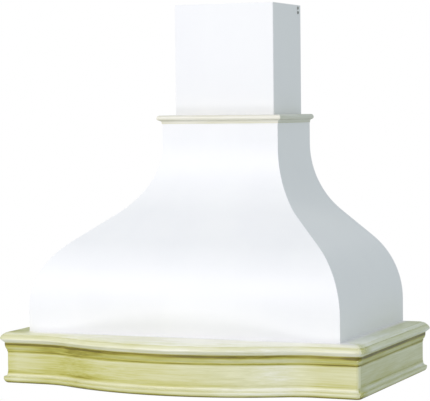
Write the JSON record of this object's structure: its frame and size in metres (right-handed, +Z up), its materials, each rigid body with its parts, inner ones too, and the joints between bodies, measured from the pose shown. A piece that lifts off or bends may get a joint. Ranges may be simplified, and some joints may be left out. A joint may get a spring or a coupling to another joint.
{
  "type": "wall range hood",
  "caption": "Wall range hood: white ogee steel bell and telescoping chimney on a cream wooden cornice frame with a bowed front, with blower, filters, lamps and controls.",
  "frame": {"origin": "on the wall plane, centred, at the bottom edge of the wooden frame", "axes": "+X along the wall to the right, +Y into the wall, so -Y faces the kitchen, +Z up the chimney"},
  "size_m": [0.9, 0.5909, 0.885],
  "materials": {
    "white_steel": "smooth white powder coat, satin sheen",
    "cream_wood": "cream yellow brushed finish, dark glaze in the grooves",
    "raw_wood": "sawn softwood",
    "galvanised_steel": "galvanised sheet",
    "pan_steel": "satin white powder coat",
    "screw_steel": "zinc plated",
    "filter_aluminium": "rolled aluminium",
    "filter_mesh": "layered expanded aluminium mesh",
    "chrome": "polished",
    "lamp_glass": "frosted",
    "white_plastic": "moulded, light gloss",
    "grey_plastic": "moulded, matt",
    "black_plastic": "moulded, matt",
    "wheel_steel": "galvanised strip",
    "motor_paint": "black enamel"
  },
  "bodies": {
    "hood": {"back_panel": "galvanised_steel", "base_moulding_front": "cream_wood", "base_moulding_left": "cream_wood", "base_moulding_right": "cream_wood", "blower_brackets": "galvanised_steel", "blower_scroll": "galvanised_steel", "blower_side_left": "galvanised_steel", "blower_side_right": "galvanised_steel", "cable_gland": "black_plastic", "canopy_front": "white_steel", "canopy_left": "white_steel", "canopy_right": "white_steel", "collar_front": "cream_wood", "collar_left": "cream_wood", "collar_right": "cream_wood", "control_strip": "grey_plastic", "corner_blocks": "raw_wood", "cornice_front": "cream_wood", "cornice_left": "cream_wood", "cornice_right": "cream_wood", "fan_motor": "motor_paint", "filter_pan": "pan_steel", "flap_pin": "screw_steel", "frieze_front": "cream_wood", "frieze_left": "cream_wood", "frieze_right": "cream_wood", "lamp_bezel_left": "chrome", "lamp_bezel_right": "chrome", "lamp_glass_left": "lamp_glass", "lamp_glass_right": "lamp_glass", "lamp_holder_left": "white_plastic", "lamp_holder_right": "white_plastic", "motor_spider": "galvanised_steel", "neck_plate": "galvanised_steel", "outlet_spigot": "galvanised_steel", "shelf_front": "cream_wood", "shelf_left": "cream_wood", "shelf_right": "cream_wood", "switch_block": "black_plastic", "terminal_box": "black_plastic"},
    "chimney": {"chimney": "white_steel", "chimney_bracket": "galvanised_steel", "chimney_screws": "screw_steel"},
    "fan_wheel": {"motor_shaft": "screw_steel", "wheel_blades": "wheel_steel", "wheel_hub": "wheel_steel", "wheel_rings": "wheel_steel"},
    "filter_left": {"filter_frame_left": "filter_aluminium", "filter_mesh_left": "filter_mesh"},
    "filter_right": {"filter_frame_right": "filter_aluminium", "filter_mesh_right": "filter_mesh"},
    "latch_left": {"filter_latch_left": "grey_plastic"},
    "latch_right": {"filter_latch_right": "grey_plastic"},
    "flap_front": {"flap_front": "grey_plastic"},
    "flap_rear": {"flap_rear": "grey_plastic"},
    "light_button": {"light_button": "white_plastic"},
    "stop_button": {"stop_button": "white_plastic"},
    "low_button": {"low_button": "white_plastic"},
    "medium_button": {"medium_button": "white_plastic"},
    "high_button": {"high_button": "white_plastic"}
  },
  "joints": [
    {"name": "chimney_slide", "type": "slide", "parent": "hood", "child": "chimney", "axis": [0, 0, 1], "range_m": [-0.1, 0.1]},
    {"name": "fan_spin", "type": "hinge", "parent": "hood", "child": "fan_wheel", "pos_m": [0, -0.175, 0.25], "axis": [1, 0, 0], "continuous": true},
    {"name": "filter_left_swing", "type": "hinge", "parent": "hood", "child": "filter_left", "pos_m": [-0.17, -0.068, 0.0345], "axis": [1, 0, 0], "range_deg": [0, 75]},
    {"name": "latch_left_slide", "type": "slide", "parent": "filter_left", "child": "latch_left", "axis": [0, 1, 0], "range_m": [0, 0.005], "stiffness_N_per_m": 300, "springref_m": -0.002},
    {"name": "filter_right_swing", "type": "hinge", "parent": "hood", "child": "filter_right", "pos_m": [0.17, -0.068, 0.0345], "axis": [1, 0, 0], "range_deg": [0, 75]},
    {"name": "latch_right_slide", "type": "slide", "parent": "filter_right", "child": "latch_right", "axis": [0, 1, 0], "range_m": [0, 0.005], "stiffness_N_per_m": 300, "springref_m": -0.002},
    {"name": "light_button_press", "type": "slide", "parent": "hood", "child": "light_button", "axis": [0, 0, 1], "range_m": [0, 0.003], "stiffness_N_per_m": 300, "springref_m": -0.002},
    {"name": "stop_button_press", "type": "slide", "parent": "hood", "child": "stop_button", "axis": [0, 0, 1], "range_m": [0, 0.003], "stiffness_N_per_m": 300, "springref_m": -0.002},
    {"name": "low_button_press", "type": "slide", "parent": "hood", "child": "low_button", "axis": [0, 0, 1], "range_m": [0, 0.003], "stiffness_N_per_m": 300, "springref_m": -0.002},
    {"name": "medium_button_press", "type": "slide", "parent": "hood", "child": "medium_button", "axis": [0, 0, 1], "range_m": [0, 0.003], "stiffness_N_per_m": 300, "springref_m": -0.002},
    {"name": "high_button_press", "type": "slide", "parent": "hood", "child": "high_button", "axis": [0, 0, 1], "range_m": [0, 0.003], "stiffness_N_per_m": 300, "springref_m": -0.002},
    {"name": "flap_rear_swing", "type": "hinge", "parent": "hood", "child": "flap_rear", "pos_m": [0, -0.0985, 0.3825], "axis": [1, 0, 0], "range_deg": [0, 75]},
    {"name": "flap_front_swing", "type": "hinge", "parent": "hood", "child": "flap_front", "pos_m": [0, -0.0985, 0.3825], "axis": [-1, 0, 0], "range_deg": [0, 75]}
  ]
}
